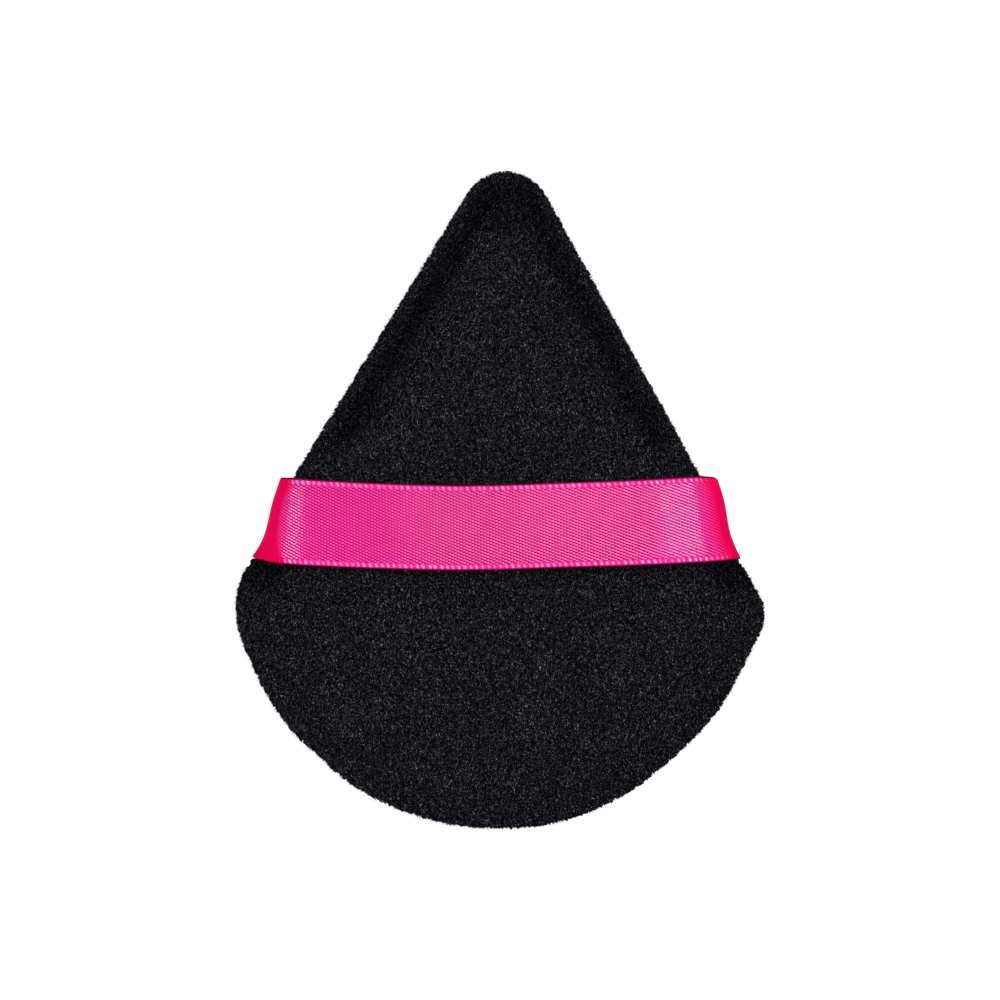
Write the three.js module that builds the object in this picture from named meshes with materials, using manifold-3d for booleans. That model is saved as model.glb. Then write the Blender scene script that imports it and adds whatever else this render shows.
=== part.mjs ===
// A powder puff with the outline of a rounded triangle. Two velour panels are sewn together inside out,
// turned and filled with foam, and a satin ribbon crosses the front face as a strap for the fingers.
// Millimetres. The puff lies on its back panel, with +Z out of its front face and +Y towards its tip.

import * as THREE from 'three';
import { mergeVertices } from 'three/addons/utils/BufferGeometryUtils.js';
import Module from 'manifold-3d';

const wasm = await Module();
wasm.setup();

// The plan, measured over the pile, has a round base, tip and two round corners, joined by straight
// runs. Places are taken from the middle of the base's circle.
const baseRadius = 32.25;
const tipRadius = 5.35;
const tipRise = 42.15;
const tipShift = 1.03;
const leftCornerRadius = 10.6;
const leftCornerProud = 0.22;
const leftCornerDegrees = 14.7;
const rightCornerRadius = 4.9;
const rightCornerProud = 0.85;
const rightCornerDegrees = 13.1;

// The panels, with depths taken from the plane of the seam.
const coverThickness = 1;
const flangeThickness = 0.5;
const crownDepth = 5;
const edgeDepth = 4.3;
const rimWidth = 3.4;
const rimRise = 1.6;
const seamDip = 0.7;
const filletWidth = 0.45;
const restCut = 0.5;
const softClearance = 0.3;

// The ribbon strap, and how it pulls the flanks in.
const strapWidth = 10.2;
const strapThickness = 0.3;
const strapRise = 4.2;
const strapSag = 1;
const fingerGap = 4.8;
const strapBend = 0.9;
const lowerFullness = 2.8;
const upperFullness = 3.3;
const upperSlack = 1.35;
const strapDraw = 0.72;
const strapPinch = 0.5;
const strapTail = 2.9;

// The seam: a machine lockstitch, a hand stitch over the turning gap, and a tack at each strap end.
const threadRadius = 0.13;
const threadClearance = 0.15;
const stitchPitch = 5;
const stitchInset = 2.1;
const legSpread = 0.22;
const hookDepth = 0.2;
const threadEnd = 0.8;
const turningGap = 24;
const closingPitch = 4;
const tackInset = 3.1;
const tackPitch = 2.2;
const allowance = 3.2;

const velourBlack = { color: 0x141417, roughness: 0.95, metalness: 0 };
const satinPink = { color: 0xff2a8c, roughness: 0.35, metalness: 0 };
const foamWhite = { color: 0xf0ede4, roughness: 0.9, metalness: 0 };
const threadBlack = { color: 0x1b1b1e, roughness: 0.7, metalness: 0 };

const strapHalf = strapThickness / 2;
const flangeTop = strapHalf + flangeThickness;
const threadHeight = flangeTop + threadRadius + threadClearance;
const grooveHeight = threadHeight + threadRadius + softClearance;
const smallestRadius = Math.min(baseRadius, tipRadius, leftCornerRadius, rightCornerRadius);
const deepestShare = 0.88;
const deepestInset = deepestShare * smallestRadius;
const allowanceInset = Math.min(seamDip + allowance, deepestInset - softClearance);
const strapTop = crownDepth + fingerGap + strapHalf;
const strapEndRise = strapRise + strapSag;
const strapLow = strapEndRise - strapWidth / 2;
const strapHigh = strapEndRise + strapWidth / 2;

// The plan

function circleAt(distance, degrees, radius) {
  const angle = THREE.MathUtils.degToRad(degrees);
  const direction = new THREE.Vector2(Math.cos(angle), Math.sin(angle));
  return { centre: direction.multiplyScalar(distance), radius };
}

function grown(circle, extra) {
  return { centre: circle.centre, radius: circle.radius + extra };
}

function onCircle(circle, angle) {
  const direction = new THREE.Vector2(Math.cos(angle), Math.sin(angle));
  return direction.multiplyScalar(circle.radius).add(circle.centre);
}

// The angle at which a straight run, walked anticlockwise, leaves one circle and meets the next.
function runAngle(first, second) {
  const way = new THREE.Vector2().subVectors(second.centre, first.centre);
  return way.angle() - Math.acos((first.radius - second.radius) / way.length());
}

function arc(circle, from, to, steps) {
  const sweep = THREE.MathUtils.euclideanModulo(to - from, 2 * Math.PI);
  return Array.from({ length: steps + 1 }, (_, i) => onCircle(circle, from + (sweep * i) / steps));
}

// A flank runs straight up from its corner to the tip, and the strap draws it in across its width.
function flank(corner, tip, angle, steps) {
  const foot = onCircle(corner, angle);
  const head = onCircle(tip, angle);
  const inward = new THREE.Vector2(-Math.cos(angle), -Math.sin(angle));
  const underStrap = Array.from({ length: steps + 1 }, (_, i) => strapLow + (strapWidth * i) / steps);
  const above = [1, 2, 3].map((i) => strapHigh + ((head.y - strapHigh) * i) / 4);
  const least = foot.y + strapWidth / (2 * steps);
  return [...underStrap, ...above]
    .filter((height) => height > least)
    .map((height) => {
      const spot = foot.clone().lerp(head, (height - foot.y) / (head.y - foot.y));
      const draw = strapDraw * (1 - THREE.MathUtils.smoothstep(height, strapLow, strapHigh));
      return spot.addScaledVector(inward, draw);
    });
}

function outlinePoints() {
  const base = circleAt(0, 0, baseRadius);
  const tip = { centre: new THREE.Vector2(tipShift, tipRise), radius: tipRadius };
  const rightReach = baseRadius - rightCornerRadius + rightCornerProud;
  const leftReach = baseRadius - leftCornerRadius + leftCornerProud;
  const right = circleAt(rightReach, -rightCornerDegrees, rightCornerRadius);
  const left = circleAt(leftReach, 180 + leftCornerDegrees, leftCornerRadius);
  const rightFlank = runAngle(grown(right, strapDraw), tip);
  const leftFlank = runAngle(tip, grown(left, strapDraw));
  return [
    ...arc(base, runAngle(left, base), runAngle(base, right), 16),
    ...arc(right, runAngle(base, right), rightFlank, 5),
    ...flank(grown(right, strapDraw), tip, rightFlank, 4),
    ...arc(tip, rightFlank, leftFlank, 7),
    ...flank(grown(left, strapDraw), tip, leftFlank, 4).reverse(),
    ...arc(left, leftFlank, runAngle(left, base), 4),
  ];
}

function withNormals(points) {
  return points.map((point, i) => {
    const before = points[(i + points.length - 1) % points.length];
    const after = points[(i + 1) % points.length];
    const along = new THREE.Vector2().subVectors(after, before).normalize();
    return { point, normal: new THREE.Vector2(along.y, -along.x) };
  });
}

// The strap is tight at its lower edge, where it pinches the rim.
function pinched(rim) {
  const pinchPlaceShare = 0.32;
  const pinchReachShare = 0.3;
  const place = strapLow + pinchPlaceShare * strapWidth;
  const reach = pinchReachShare * strapWidth;
  return rim.map(({ point, normal }) => {
    const depth = strapPinch * Math.exp(-(((point.y - place) / reach) ** 2));
    return point.clone().addScaledVector(normal, -depth);
  });
}

const plan = withNormals(pinched(withNormals(outlinePoints())));

// One loop of the plan: drawn in by an inset, raised to a height, and shrunk towards the middle.
function ring({ inset, height, share = 1 }) {
  const depth = Math.min(inset, deepestInset);
  return plan.map(({ point, normal }) => {
    const spot = point.clone().addScaledVector(normal, -depth).multiplyScalar(share);
    return new THREE.Vector3(spot.x, spot.y, height);
  });
}

// How far out the plan lies at a height up the page, on the right (1) or on the left (-1).
function reachAt(inset, height, side) {
  const loop = ring({ inset, height: 0 });
  const start = loop.findIndex((spot, i) => {
    const next = loop[(i + 1) % loop.length];
    return (spot.y - height) * (next.y - height) <= 0 && spot.x * side > 0;
  });
  const spot = loop[start];
  const next = loop[(start + 1) % loop.length];
  return side * THREE.MathUtils.lerp(spot.x, next.x, (height - spot.y) / (next.y - spot.y));
}

// Sections of the cushion: spots with an inset and a height, swept round the plan

// A quarter of an ellipse that leaves the first spot upright and meets the second level.
function quarter(from, to, steps) {
  return Array.from({ length: steps + 1 }, (_, i) => {
    const angle = (Math.PI * i) / (2 * steps);
    return {
      inset: THREE.MathUtils.lerp(to.inset, from.inset, Math.cos(angle)),
      height: THREE.MathUtils.lerp(from.height, to.height, Math.sin(angle)),
    };
  });
}

// The crown swells from the shoulder to the middle, where the share is 0.
const crownShares = [0, 0.45, 0.82];
const middleShares = [0];

function crown(shoulder, top, placeShares) {
  return placeShares.map((share) => ({
    inset: shoulder.inset,
    height: shoulder.height + (top - shoulder.height) * (1 - share ** 2),
    share,
  }));
}

// Sweeps a section from the middle of one face to the middle of the other. Side -1 turns it over.
function sweep(section, side) {
  const positions = [];
  const rows = section.map((spot) => {
    const points = spot.share === 0 ? [new THREE.Vector3(0, 0, spot.height)] : ring(spot);
    const first = positions.length / 3;
    points.forEach(({ x, y, z }) => positions.push(x, y, z * side));
    return plan.map((_, i) => first + (i % points.length));
  });
  const faces = [];
  for (let r = 1; r < rows.length; r += 1) {
    plan.forEach((_, i) => {
      const j = (i + 1) % plan.length;
      faces.push([rows[r - 1][i], rows[r][i], rows[r][j]]);
      faces.push([rows[r - 1][i], rows[r][j], rows[r - 1][j]]);
    });
  }
  return meshOf(positions, faces, side);
}

function meshOf(positions, faces, side = 1) {
  const index = faces
    .filter(([a, b, c]) => a !== b && b !== c && c !== a)
    .flatMap(([a, b, c]) => (side > 0 ? [a, b, c] : [a, c, b]));
  const geometry = new THREE.BufferGeometry();
  geometry.setAttribute('position', new THREE.Float32BufferAttribute(positions, 3));
  geometry.setIndex(index);
  geometry.computeVertexNormals();
  return geometry;
}

// Cutting

function solidOf(geometry) {
  const bare = geometry.clone();
  bare.deleteAttribute('normal');
  bare.deleteAttribute('uv');
  const merged = mergeVertices(bare);
  const vertProperties = Float32Array.from(merged.attributes.position.array);
  const triVerts = Uint32Array.from(merged.index.array);
  return new wasm.Manifold(new wasm.Mesh({ numProp: 3, vertProperties, triVerts }));
}

function cut(geometry, tool) {
  const { vertProperties, triVerts } = solidOf(geometry).subtract(tool).getMesh();
  const faces = Array.from({ length: triVerts.length / 3 }, (_, i) => triVerts.subarray(3 * i, 3 * i + 3));
  return meshOf(Array.from(vertProperties), faces);
}

// The seam's lines and stitches

const seamLine = new THREE.CatmullRomCurve3(ring({ inset: stitchInset, height: 0 }), true, 'centripetal');
const seamLength = seamLine.getLength();
const turningPlaceShare = 0.2;
const turningStart = turningPlaceShare * seamLength - turningGap / 2;

// A stitch is a place on the seam, with its way along the seam and its way out of the puff.
function stitchAt(distance) {
  const share = THREE.MathUtils.euclideanModulo(distance / seamLength, 1);
  const along = seamLine.getTangentAt(share);
  return { place: seamLine.getPointAt(share), along, out: new THREE.Vector3(along.y, -along.x, 0) };
}

function stitchesBetween(start, length, pitch) {
  const count = Math.round(length / pitch);
  return Array.from({ length: count + 1 }, (_, i) => stitchAt(start + (length * i) / count));
}

const seamStitches = stitchesBetween(turningStart + turningGap, seamLength - turningGap, stitchPitch);
const closingStitches = stitchesBetween(
  turningStart + closingPitch,
  turningGap - 2 * closingPitch,
  closingPitch,
);

// The tack crosses the strap's end in the allowance, along the flank.
function tackStitches(side) {
  const count = 4;
  const spots = Array.from({ length: count }, (_, i) => {
    const height = strapEndRise + tackPitch * (i - (count - 1) / 2);
    return new THREE.Vector3(side * reachAt(tackInset, height, side), height, 0);
  });
  const along = new THREE.Vector3().subVectors(spots[count - 1], spots[0]).normalize();
  const out = new THREE.Vector3(along.y, -along.x, 0);
  return spots.map((place) => ({ place, along, out }));
}

const tacks = { left: tackStitches(-1), right: tackStitches(1) };

function needleHole({ place, along }, halfWidth) {
  const box = new THREE.BoxGeometry(2 * halfWidth, 2 * halfWidth, 2 * threadHeight);
  box.rotateZ(Math.atan2(along.y, along.x));
  box.translate(place.x, place.y, place.z);
  return solidOf(box);
}

function needleHoles() {
  const wide = legSpread + threadRadius + threadClearance;
  const narrow = threadRadius + threadClearance;
  const single = [...closingStitches, ...tacks.left, ...tacks.right];
  const holes = [
    ...seamStitches.map((stitch) => needleHole(stitch, wide)),
    ...single.map((stitch) => needleHole(stitch, narrow)),
  ];
  return holes.reduce((all, hole) => all.add(hole));
}

// A spot of a thread, away from its stitch along the seam, out of the puff and up.
function threadSpot({ place, along, out }, ahead, outward, height) {
  const point = place.clone().addScaledVector(along, ahead).addScaledVector(out, outward);
  point.z += height;
  return { point, out };
}

// A four-sided thread through its spots, mitred at each bend.
function threadGeometry(spots) {
  const positions = [];
  spots.forEach(({ point, out }, i) => {
    const before = spots[Math.max(i - 1, 0)].point;
    const after = spots[Math.min(i + 1, spots.length - 1)].point;
    const arriving = new THREE.Vector3().subVectors(point, before).normalize();
    const leaving = new THREE.Vector3().subVectors(after, point).normalize();
    const way = arriving.clone().add(leaving).normalize();
    const across = out.clone().addScaledVector(way, -out.dot(way)).normalize();
    const upright = new THREE.Vector3().crossVectors(way, across);
    const mitre = 1 / Math.max(way.dot(arriving), way.dot(leaving));
    [45, 135, 225, 315].map(THREE.MathUtils.degToRad).forEach((angle) => {
      const corner = point
        .clone()
        .addScaledVector(across, threadRadius * Math.cos(angle))
        .addScaledVector(upright, threadRadius * mitre * Math.sin(angle));
      positions.push(corner.x, corner.y, corner.z);
    });
  });
  const last = 4 * (spots.length - 1);
  const faces = [
    [0, 2, 1],
    [0, 3, 2],
    [last, last + 1, last + 2],
    [last, last + 2, last + 3],
  ];
  for (let row = 0; row < last; row += 4) {
    [0, 1, 2, 3].forEach((corner) => {
      const next = (corner + 1) % 4;
      faces.push([row + corner, row + next, row + 4 + next]);
      faces.push([row + corner, row + 4 + next, row + 4 + corner]);
    });
  }
  return meshOf(positions, faces);
}

// One thread of the lockstitch runs on its own side of the flanges. At each stitch it dips past the
// middle and crosses over, so that it hooks through the other thread. Side 1 is the front.
function lockstitch(side) {
  const run = side * threadHeight;
  const dip = -side * hookDepth;
  const spots = seamStitches.flatMap((stitch) => [
    threadSpot(stitch, -legSpread, side * legSpread, run),
    threadSpot(stitch, -legSpread, side * legSpread, dip),
    threadSpot(stitch, legSpread, -side * legSpread, dip),
    threadSpot(stitch, legSpread, -side * legSpread, run),
  ]);
  const first = threadSpot(seamStitches[0], -threadEnd, side * legSpread, run);
  const last = threadSpot(seamStitches[seamStitches.length - 1], threadEnd, -side * legSpread, run);
  return threadGeometry([first, ...spots, last]);
}

// A hand stitch goes down through one hole and up through the next.
function runningStitch(stitches) {
  const legs = stitches.flatMap((stitch, i) => {
    const way = i % 2 === 0 ? 1 : -1;
    return [threadSpot(stitch, 0, 0, way * threadHeight), threadSpot(stitch, 0, 0, -way * threadHeight)];
  });
  const endWay = stitches.length % 2 === 0 ? 1 : -1;
  const first = threadSpot(stitches[0], -threadEnd, 0, threadHeight);
  const last = threadSpot(stitches[stitches.length - 1], threadEnd, 0, endWay * threadHeight);
  return threadGeometry([first, ...legs, last]);
}

// The panels and the core

// A panel's section starts at the middle of its face, rolls over the rim to the seam, turns in as a
// flange and comes back under the face.
function panelSection(deepest) {
  const widest = { inset: 0, height: rimRise };
  const shoulder = { inset: rimWidth, height: edgeDepth };
  const fold = { inset: seamDip, height: strapHalf };
  const liningWidest = { inset: coverThickness, height: rimRise };
  const liningShoulder = { inset: rimWidth, height: edgeDepth - coverThickness };
  const fillet = { inset: coverThickness + filletWidth, height: flangeTop };
  const section = [
    ...crown(shoulder, crownDepth, crownShares),
    ...quarter(widest, shoulder, 4).reverse(),
    ...quarter(widest, fold, 2).slice(1),
    { inset: allowanceInset, height: strapHalf },
    { inset: allowanceInset, height: flangeTop },
    ...quarter(liningWidest, fillet, 1).reverse(),
    ...quarter(liningWidest, liningShoulder, 2).slice(1),
    ...crown(liningShoulder, crownDepth - coverThickness, middleShares),
  ];
  return section.map((spot) => ({ ...spot, height: Math.min(spot.height, deepest) }));
}

// The core keeps clear of the cover and is squeezed to a groove over the seam allowance.
function coreHalf() {
  const edge = { inset: coverThickness + softClearance, height: rimRise };
  const shoulder = { inset: rimWidth, height: edgeDepth - coverThickness - softClearance };
  const lip = { inset: coverThickness + 2 * softClearance, height: grooveHeight };
  return [
    ...crown(shoulder, crownDepth - coverThickness - softClearance, middleShares),
    ...quarter(edge, shoulder, 2).reverse(),
    lip,
    { inset: allowanceInset + softClearance, height: grooveHeight },
  ];
}

function coreSection() {
  const front = coreHalf();
  const back = coreHalf().reverse();
  return [...front, ...back.map((spot) => ({ ...spot, height: -spot.height }))];
}

// The strap

// Half of the strap's way over the puff at one place across its width: from the crest, along an arch
// with full shoulders, round the bend beside the rim, and level into the seam.
function strapHalfWay(widthShare, side) {
  const height = strapLow + widthShare * strapWidth;
  const lowerSlack = softClearance + strapHalf;
  const slack = THREE.MathUtils.lerp(lowerSlack, upperSlack, widthShare);
  const reach = reachAt(0, height, side) + slack;
  const fullness = THREE.MathUtils.lerp(lowerFullness, upperFullness, widthShare);
  const archHeight = strapTop - strapBend;
  const archSteps = 9;
  const archSpacingShare = 0.75;
  const arch = Array.from({ length: archSteps + 1 }, (_, i) => {
    const angle = (Math.PI / 2) * (1 - (i / archSteps) ** archSpacingShare);
    const outShare = i === 0 ? 0 : Math.cos(angle) ** (2 / fullness);
    const upShare = i === archSteps ? 0 : Math.sin(angle) ** (2 / fullness);
    return {
      x: reach * outShare,
      y: height - strapSag * (1 - outShare ** 2),
      z: strapBend + archHeight * upShare,
      normal: new THREE.Vector3(
        outShare ** (fullness - 1) / reach,
        0,
        upShare ** (fullness - 1) / archHeight,
      ).normalize(),
    };
  });
  const bend = [1, 2, 3, 4].map((i) => {
    const angle = (Math.PI * i) / 8;
    const normal = new THREE.Vector3(Math.cos(angle), 0, -Math.sin(angle));
    return {
      x: reach - strapBend + strapBend * normal.x,
      y: height,
      z: strapBend + strapBend * normal.z,
      normal: i === 4 ? new THREE.Vector3(0, 0, -1) : normal,
    };
  });
  bend[3].z = 0;
  const tailEnd = reachAt(seamDip + strapTail, height, side);
  const tail = { x: tailEnd, y: height, z: 0, normal: new THREE.Vector3(0, 0, -1) };
  return [...arch, ...bend, tail].map((spot) => {
    const normal = new THREE.Vector3(side * spot.normal.x, 0, spot.normal.z);
    return { point: new THREE.Vector3(side * spot.x, spot.y, spot.z), normal };
  });
}

function strapGeometry() {
  const rows = 5;
  const ways = Array.from({ length: rows + 1 }, (_, i) => {
    const left = strapHalfWay(i / rows, -1).reverse();
    return [...left, ...strapHalfWay(i / rows, 1).slice(1)];
  });
  const columns = ways[0].length;
  const positions = [];
  [strapHalf, -strapHalf].forEach((offset) => {
    ways.flat().forEach(({ point, normal }) => {
      const { x, y, z } = point.clone().addScaledVector(normal, offset);
      positions.push(x, y, z);
    });
  });
  const below = ways.length * columns;
  const faces = [];
  const quad = (a, b, c, d) => faces.push([a, b, c], [a, c, d]);
  for (let r = 0; r < rows; r += 1) {
    for (let c = 0; c < columns - 1; c += 1) {
      const a = r * columns + c;
      const b = a + columns;
      quad(a, a + 1, b + 1, b);
      quad(below + a, below + b, below + b + 1, below + a + 1);
    }
    const leftEnd = r * columns;
    const rightEnd = leftEnd + columns - 1;
    quad(leftEnd, leftEnd + columns, below + leftEnd + columns, below + leftEnd);
    quad(rightEnd, below + rightEnd, below + rightEnd + columns, rightEnd + columns);
  }
  for (let c = 0; c < columns - 1; c += 1) {
    const top = rows * columns + c;
    quad(c, below + c, below + c + 1, c + 1);
    quad(top, top + 1, below + top + 1, below + top);
  }
  return meshOf(positions, faces);
}

// The puff

function part(name, geometry, finish) {
  const mesh = new THREE.Mesh(geometry, new THREE.MeshStandardMaterial(finish));
  mesh.name = name;
  return mesh;
}

const holes = needleHoles();
const backDepth = crownDepth - restCut;
const puff = new THREE.Group();
puff.add(
  part('front_panel', cut(sweep(panelSection(crownDepth), 1), holes), velourBlack),
  part('back_panel', cut(sweep(panelSection(backDepth), -1), holes), velourBlack),
  part('foam_core', sweep(coreSection(), 1), foamWhite),
  part('finger_ribbon', cut(strapGeometry(), holes), satinPink),
  part('needle_thread', lockstitch(1), threadBlack),
  part('bobbin_thread', lockstitch(-1), threadBlack),
  part('closing_thread', runningStitch(closingStitches), threadBlack),
  part('left_tack_thread', runningStitch(tacks.left), threadBlack),
  part('right_tack_thread', runningStitch(tacks.right), threadBlack),
);

// The puff rests on its flattened back, over the middle of its box.
const box = new THREE.Box2().setFromPoints(plan.map(({ point }) => point));
const middle = box.getCenter(new THREE.Vector2());
puff.position.set(-middle.x, -middle.y, backDepth);

export default puff;
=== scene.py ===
# %% [markdown]
# # A velour powder puff with a satin finger ribbon
# The puff is a rounded triangle of black velour, sewn inside out, turned and filled with foam. A pink
# satin ribbon crosses its front as a strap for the fingers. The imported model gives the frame: where
# each piece lies and how big it is. Everything here is in metres, in that frame.

# %% The frame
import math
import bpy
import numpy as np
from mathutils.kdtree import KDTree
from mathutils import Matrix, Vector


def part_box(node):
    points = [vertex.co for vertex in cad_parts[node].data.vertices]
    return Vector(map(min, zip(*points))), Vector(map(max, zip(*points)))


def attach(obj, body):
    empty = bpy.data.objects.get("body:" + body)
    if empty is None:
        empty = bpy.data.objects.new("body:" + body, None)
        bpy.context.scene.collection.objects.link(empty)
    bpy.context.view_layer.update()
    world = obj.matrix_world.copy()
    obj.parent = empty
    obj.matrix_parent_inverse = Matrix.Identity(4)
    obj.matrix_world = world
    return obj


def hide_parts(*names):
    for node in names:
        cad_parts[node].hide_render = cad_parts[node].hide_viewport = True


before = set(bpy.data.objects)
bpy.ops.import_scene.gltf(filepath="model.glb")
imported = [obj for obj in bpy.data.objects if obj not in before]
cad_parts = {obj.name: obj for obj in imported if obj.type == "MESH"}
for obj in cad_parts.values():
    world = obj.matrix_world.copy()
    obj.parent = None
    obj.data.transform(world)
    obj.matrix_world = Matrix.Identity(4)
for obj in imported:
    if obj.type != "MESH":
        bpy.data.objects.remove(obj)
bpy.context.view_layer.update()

# %% [markdown]
# ## The paper pattern
# A sewer starts from a paper pattern: one outline that both velour panels are cut to. This one is a
# belt round four circles, which are the broad base, the two corners and the tip. Straight runs join
# them. The outline could be traced from a photograph as a long list of points. A formula is better
# here, because every later piece can ask it how wide the puff is at any height.

# %% The pattern's circles
base_radius = 0.03225
tip_radius = 0.00535
tip_place = np.array([0.00103, 0.04215])
left_corner_radius = 0.0106
left_corner_proud = 0.00022
left_corner_degrees = 14.7
right_corner_radius = 0.0049
right_corner_proud = 0.00085
right_corner_degrees = 13.1


def heading(angle):
    """The way that points at an angle, as x and y."""
    return np.stack([np.cos(angle), np.sin(angle)], axis=-1)


def corner_circle(radius, proud, angle):
    """A corner's circle, just inside the base circle but standing a little proud of it."""
    reach = base_radius - radius + proud
    return {"centre": reach * heading(angle), "radius": radius}


base_circle = {"centre": np.zeros(2), "radius": base_radius}
tip_circle = {"centre": tip_place, "radius": tip_radius}
right_circle = corner_circle(
    right_corner_radius, right_corner_proud, -math.radians(right_corner_degrees)
)
left_circle = corner_circle(
    left_corner_radius, left_corner_proud, math.pi + math.radians(left_corner_degrees)
)
for corner in (left_circle, right_circle):
    print("corner at", (corner["centre"] * 1000).round(1), "radius", round(corner["radius"] * 1000, 1), "mm")

# %% [markdown]
# The strap's place is needed as early as the pattern, because the strap is sewn in tight and shapes
# the rim. It droops a little in the middle, draws the flanks in, and pinches them a third of the way
# up its width. A plain belt without it could be bent afterwards, but then every piece would have to be.

# %% The strap's place on the pattern
strap_width = 0.0102
strap_thickness = 0.0003
strap_rise = 0.0042
strap_sag = 0.001
strap_draw = 0.00072
strap_pinch = 0.0005
pinch_place_share = 0.32
pinch_reach_share = 0.3
strap_half = strap_thickness / 2
strap_low = strap_rise + strap_sag - strap_width / 2
strap_high = strap_low + strap_width
print("strap", round(strap_low * 1000, 2), "to", round(strap_high * 1000, 2), "mm up the pattern")

# %% Arcs and runs of the belt
plan_step = 0.0001


def grown(circle, extra):
    """The same circle with a larger radius."""
    return {"centre": circle["centre"], "radius": circle["radius"] + extra}


def run_angle(first, second):
    """The way out of both circles where a straight run, walked anticlockwise, joins them."""
    way = second["centre"] - first["centre"]
    lean = math.acos((first["radius"] - second["radius"]) / np.hypot(*way))
    return math.atan2(way[1], way[0]) - lean


def arc(circle, start, end):
    """Spots along a circle, walked anticlockwise from angle to angle."""
    sweep = (end - start) % (2 * math.pi)
    count = int(circle["radius"] * sweep / plan_step)
    return circle["centre"] + circle["radius"] * heading(start + np.linspace(0, sweep, count))


def smoothstep(value, low, high):
    """0 below a range, 1 above it, and an easy slope between."""
    share = np.clip((value - low) / (high - low), 0, 1)
    return share * share * (3 - 2 * share)

# %% The belt round the circles
def flank(corner, angle):
    """From a corner straight up to the tip, drawn in where the strap holds it."""
    wide = grown(corner, strap_draw)
    foot = wide["centre"] + wide["radius"] * heading(angle)
    head = tip_circle["centre"] + tip_circle["radius"] * heading(angle)
    count = int(np.hypot(*(head - foot)) / plan_step)
    spots = foot + np.linspace(0, 1, count)[1:-1, None] * (head - foot)
    draw = strap_draw * (1 - smoothstep(spots[:, 1], strap_low, strap_high))
    return spots - draw[:, None] * heading(angle)


right_lean = run_angle(grown(right_circle, strap_draw), tip_circle)
left_lean = run_angle(tip_circle, grown(left_circle, strap_draw))
belt = np.concatenate([
    arc(base_circle, run_angle(left_circle, base_circle), run_angle(base_circle, right_circle)),
    arc(right_circle, run_angle(base_circle, right_circle), right_lean),
    flank(right_circle, right_lean),
    arc(tip_circle, right_lean, left_lean),
    flank(left_circle, left_lean)[::-1],
    arc(left_circle, left_lean, run_angle(left_circle, base_circle)),
])
print("belt of", len(belt), "spots")

# %% [markdown]
# The belt's spots are spread evenly and smoothed a little, since cloth has no sudden change of bend.
# Each spot gets its way out, so that a loop of any inset can be drawn from it. Turned seams are never
# quite even, so the base is drawn in a little at two places and stands out a little between them.

# %% Helpers for closed loops
def closed_lengths(points):
    """How far round a closed loop each spot lies, and its whole length."""
    steps = np.linalg.norm(np.roll(points, -1, axis=0) - points, axis=1)
    return np.concatenate([[0], np.cumsum(steps)])


def spread_evenly(points, count):
    """The same loop with its spots spaced evenly."""
    lengths = closed_lengths(points)
    looped = np.concatenate([points, points[:1]])
    at = np.linspace(0, lengths[-1], count, endpoint=False)
    return np.stack([np.interp(at, lengths, looped[:, k]) for k in (0, 1)], axis=1)


def smoothed(points, reach):
    """The same loop without the bends that are shorter than a reach."""
    spacing = closed_lengths(points)[-1] / len(points)
    waves = np.fft.rfftfreq(len(points), spacing)
    soften = np.exp(-2 * (math.pi * waves * reach) ** 2)
    return np.fft.irfft(np.fft.rfft(points, axis=0) * soften[:, None], len(points), axis=0)


def ways_out(points):
    """The way out of a closed loop at each of its spots."""
    along = np.roll(points, -1, axis=0) - np.roll(points, 1, axis=0)
    along /= np.linalg.norm(along, axis=1, keepdims=True)
    return np.stack([along[:, 1], -along[:, 0]], axis=1)

# %% The plan
plan_count = 4096
smooth_reach = 0.0006
# Each draw has its place and its reach in degrees round the base, and its depth
seam_draws = [(-49, 12, 0.00041), (-132, 6, 0.00027), (-79, 6, -0.00012)]
rim = smoothed(spread_evenly(belt, plan_count), smooth_reach)
pinch_place = strap_low + pinch_place_share * strap_width
pinch_reach = pinch_reach_share * strap_width
pinch = strap_pinch * np.exp(-(((rim[:, 1] - pinch_place) / pinch_reach) ** 2))
plan = spread_evenly(rim - pinch[:, None] * ways_out(rim), plan_count)
plan_out = ways_out(plan)
turned_by = np.degrees(np.arctan2(plan[:, 1], plan[:, 0]))
for degrees, reach, depth in seam_draws:
    plan -= (depth * np.exp(-(((turned_by - degrees) / reach) ** 2)))[:, None] * plan_out
plan_out = ways_out(plan)
plan_length = closed_lengths(plan)[-1]
plan_middle = (plan.min(axis=0) + plan.max(axis=0)) / 2
print("plan", (np.ptp(plan, axis=0) * 1000).round(2), "mm, round", round(plan_length * 1000, 1), "mm")

# %% [markdown]
# The pattern is drawn round the centre of its base circle, with the seam at height 0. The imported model
# has its origin under the middle of the puff, so every piece is moved home by the same step.

# %% Home
seam_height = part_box("front_panel")[0].z - strap_half
home = np.array([-plan_middle[0], -plan_middle[1], seam_height])
print("seam plane at", round(seam_height * 1000, 2), "mm, base circle at", (home * 1000).round(2))

# %% [markdown]
# ## Camera
# The photograph looks straight down on the front face from far enough away that the puff shows hardly
# any perspective. An orthographic camera would show none at all, so this one is a real camera with a
# long lens, worked out from the width that the picture takes in at the rim.

# %% Camera
camera_distance = 1.2
picture_width = 0.12167
rim_height = 0.0061
camera_data = bpy.data.cameras.new("camera")
camera_data.lens = camera_data.sensor_width * (camera_distance - rim_height) / picture_width
camera_data.clip_start = 0.01
camera = bpy.data.objects.new("camera", camera_data)
camera.location = (0, 0, camera_distance)
bpy.context.scene.collection.objects.link(camera)
bpy.context.scene.camera = camera
bpy.context.scene.view_settings.view_transform = "Standard"
print("lens", round(camera_data.lens, 1), "mm")

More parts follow.
